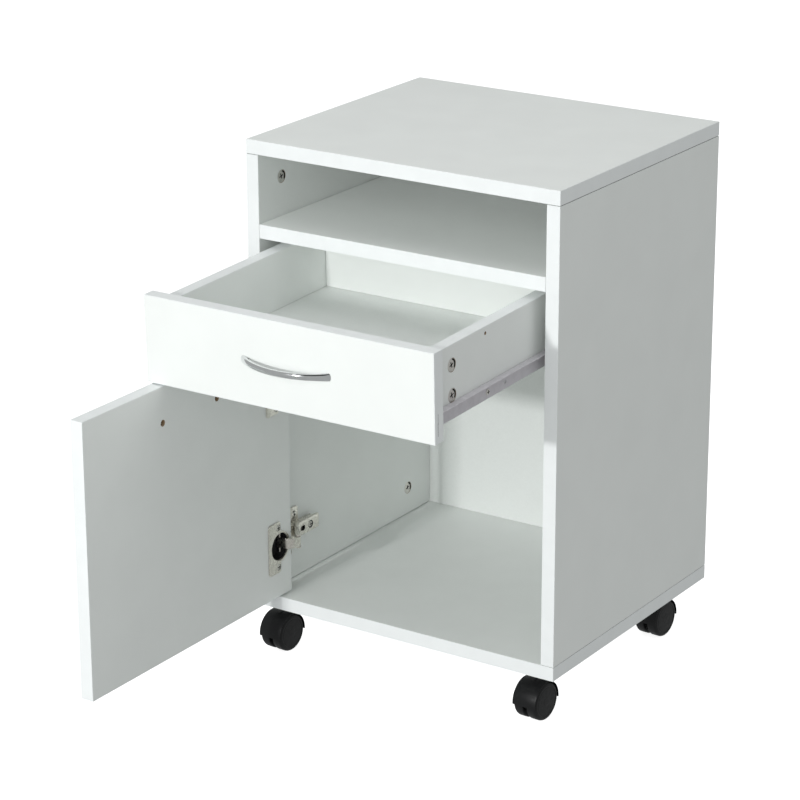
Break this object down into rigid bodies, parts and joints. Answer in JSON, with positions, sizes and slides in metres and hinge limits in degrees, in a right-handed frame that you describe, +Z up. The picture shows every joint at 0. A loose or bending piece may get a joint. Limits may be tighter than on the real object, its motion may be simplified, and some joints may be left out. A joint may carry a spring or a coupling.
{
  "type": "rolling pedestal cabinet",
  "caption": "Board cabinet on swivel casters with an open shelf niche, a drawer on roller slides and a cupboard door on concealed cup hinges, shown with the drawer and door open.",
  "frame": {"origin": "on the floor, in the middle of the whole object's box as it stands with the drawer and the door open", "axes": "+X to the right seen from the front, +Y towards the back panel, +Z up; the front faces -Y"},
  "size_m": [0.4, 0.6934, 0.607],
  "materials": {
    "white_board": "satin white melamine on chipboard, with matching edge tape",
    "white_hardboard": "satin white lacquered hardboard",
    "zinc": "zinc plated",
    "nickel": "nickel plated steel",
    "chrome": "polished chrome",
    "powder_coat": "satin grey powder coat",
    "white_nylon": "matt moulded nylon",
    "black_nylon": "satin moulded black nylon"
  },
  "bodies": {
    "carcass": {"top_panel": "white_board", "left_side_panel": "white_board", "right_side_panel": "white_board", "bottom_panel": "white_board", "fixed_shelf": "white_board", "back_panel": "white_hardboard", "left_cam_lock_bottom_front": "zinc", "left_cam_lock_bottom_rear": "zinc", "left_cam_lock_top_front": "zinc", "left_cam_lock_top_rear": "zinc", "right_cam_lock_bottom_front": "zinc", "right_cam_lock_bottom_rear": "zinc", "right_cam_lock_top_front": "zinc", "right_cam_lock_top_rear": "zinc", "left_cabinet_runner": "powder_coat", "right_cabinet_runner": "powder_coat", "lower_hinge_link": "nickel", "lower_hinge_arm": "nickel", "lower_hinge_plate": "nickel", "upper_hinge_link": "nickel", "upper_hinge_arm": "nickel", "upper_hinge_plate": "nickel", "front_left_caster_stem": "zinc", "front_right_caster_stem": "zinc", "rear_left_caster_stem": "zinc", "rear_right_caster_stem": "zinc"},
    "roller_pins": {"left_front_roller_pin": "zinc", "right_front_roller_pin": "zinc"},
    "drawer": {"drawer_front": "white_board", "drawer_left_side": "white_board", "drawer_right_side": "white_board", "drawer_back": "white_board", "drawer_bottom": "white_hardboard", "drawer_handle": "chrome", "left_drawer_runner": "powder_coat", "right_drawer_runner": "powder_coat", "drawer_left_cam_lock_upper": "zinc", "drawer_left_cam_lock_lower": "zinc", "drawer_right_cam_lock_upper": "zinc", "drawer_right_cam_lock_lower": "zinc"},
    "door": {"door_panel": "white_board", "door_handle": "chrome", "lower_hinge_cup": "nickel", "upper_hinge_cup": "nickel"},
    "left_front_roller": {"left_front_roller": "white_nylon"},
    "left_rear_roller": {"left_rear_roller": "white_nylon"},
    "right_front_roller": {"right_front_roller": "white_nylon"},
    "right_rear_roller": {"right_rear_roller": "white_nylon"},
    "front_left_caster": {"front_left_caster_housing": "black_nylon"},
    "front_left_caster_left_wheel": {"front_left_caster_left_wheel": "black_nylon"},
    "front_left_caster_right_wheel": {"front_left_caster_right_wheel": "black_nylon"},
    "front_right_caster": {"front_right_caster_housing": "black_nylon"},
    "front_right_caster_left_wheel": {"front_right_caster_left_wheel": "black_nylon"},
    "front_right_caster_right_wheel": {"front_right_caster_right_wheel": "black_nylon"},
    "rear_left_caster": {"rear_left_caster_housing": "black_nylon"},
    "rear_left_caster_left_wheel": {"rear_left_caster_left_wheel": "black_nylon"},
    "rear_left_caster_right_wheel": {"rear_left_caster_right_wheel": "black_nylon"},
    "rear_right_caster": {"rear_right_caster_housing": "black_nylon"},
    "rear_right_caster_left_wheel": {"rear_right_caster_left_wheel": "black_nylon"},
    "rear_right_caster_right_wheel": {"rear_right_caster_right_wheel": "black_nylon"}
  },
  "joints": [
    {"name": "drawer_tip", "type": "hinge", "parent": "carcass", "child": "roller_pins", "pos_m": [0, 0.02275, 0.4168], "axis": [-1, 0, 0], "range_deg": [-0.15, 1.62]},
    {"name": "drawer_slide", "type": "slide", "parent": "roller_pins", "child": "drawer", "axis": [0, -0.9996, -0.0279], "range_m": [-0.209, 0.016]},
    {"name": "door_hinge", "type": "hinge", "parent": "carcass", "child": "door", "pos_m": [-0.1695, 0.00475, 0.231], "axis": [0, 0, 1], "range_deg": [0, 90]},
    {"name": "left_front_roller_spin", "type": "hinge", "parent": "roller_pins", "child": "left_front_roller", "pos_m": [-0.17775, 0.02275, 0.4168], "axis": [1, 0, 0], "range_deg": [-1560, 125]},
    {"name": "left_rear_roller_spin", "type": "hinge", "parent": "drawer", "child": "left_rear_roller", "pos_m": [-0.17775, 0.09186, 0.41373], "axis": [1, 0, 0], "range_deg": [-2070, 160]},
    {"name": "right_front_roller_spin", "type": "hinge", "parent": "roller_pins", "child": "right_front_roller", "pos_m": [0.17775, 0.02275, 0.4168], "axis": [1, 0, 0], "range_deg": [-1560, 125]},
    {"name": "right_rear_roller_spin", "type": "hinge", "parent": "drawer", "child": "right_rear_roller", "pos_m": [0.17775, 0.09186, 0.41373], "axis": [1, 0, 0], "range_deg": [-2070, 160]},
    {"name": "front_left_swivel", "type": "hinge", "parent": "carcass", "child": "front_left_caster", "pos_m": [-0.171, 0.03575, 0.05], "axis": [0, 0, 1], "continuous": true},
    {"name": "front_left_left_wheel_spin", "type": "hinge", "parent": "front_left_caster", "child": "front_left_caster_left_wheel", "pos_m": [-0.17259, 0.0118, 0.022], "axis": [0.9978, -0.0663, 0], "continuous": true},
    {"name": "front_left_right_wheel_spin", "type": "hinge", "parent": "front_left_caster", "child": "front_left_caster_right_wheel", "pos_m": [-0.17259, 0.0118, 0.022], "axis": [0.9978, -0.0663, 0], "continuous": true},
    {"name": "front_right_swivel", "type": "hinge", "parent": "carcass", "child": "front_right_caster", "pos_m": [0.171, 0.03575, 0.05], "axis": [0, 0, 1], "continuous": true},
    {"name": "front_right_left_wheel_spin", "type": "hinge", "parent": "front_right_caster", "child": "front_right_caster_left_wheel", "pos_m": [0.16941, 0.0118, 0.022], "axis": [0.9978, -0.0663, 0], "continuous": true},
    {"name": "front_right_right_wheel_spin", "type": "hinge", "parent": "front_right_caster", "child": "front_right_caster_right_wheel", "pos_m": [0.16941, 0.0118, 0.022], "axis": [0.9978, -0.0663, 0], "continuous": true},
    {"name": "rear_left_swivel", "type": "hinge", "parent": "carcass", "child": "rear_left_caster", "pos_m": [-0.171, 0.30775, 0.05], "axis": [0, 0, 1], "continuous": true},
    {"name": "rear_left_left_wheel_spin", "type": "hinge", "parent": "rear_left_caster", "child": "rear_left_caster_left_wheel", "pos_m": [-0.17259, 0.2838, 0.022], "axis": [0.9978, -0.0663, 0], "continuous": true},
    {"name": "rear_left_right_wheel_spin", "type": "hinge", "parent": "rear_left_caster", "child": "rear_left_caster_right_wheel", "pos_m": [-0.17259, 0.2838, 0.022], "axis": [0.9978, -0.0663, 0], "continuous": true},
    {"name": "rear_right_swivel", "type": "hinge", "parent": "carcass", "child": "rear_right_caster", "pos_m": [0.171, 0.30775, 0.05], "axis": [0, 0, 1], "continuous": true},
    {"name": "rear_right_left_wheel_spin", "type": "hinge", "parent": "rear_right_caster", "child": "rear_right_caster_left_wheel", "pos_m": [0.16941, 0.2838, 0.022], "axis": [0.9978, -0.0663, 0], "continuous": true},
    {"name": "rear_right_right_wheel_spin", "type": "hinge", "parent": "rear_right_caster", "child": "rear_right_caster_right_wheel", "pos_m": [0.16941, 0.2838, 0.022], "axis": [0.9978, -0.0663, 0], "continuous": true}
  ],
  "couplings": [
    {"joint": "drawer_tip", "follows": "drawer_slide", "rad_per_m": -0.13361},
    {"joint": "left_front_roller_spin", "follows": "drawer_slide", "rad_per_m": 129.87},
    {"joint": "left_rear_roller_spin", "follows": "drawer_slide", "rad_per_m": 172.41},
    {"joint": "right_front_roller_spin", "follows": "drawer_slide", "rad_per_m": 129.87},
    {"joint": "right_rear_roller_spin", "follows": "drawer_slide", "rad_per_m": 172.41}
  ]
}
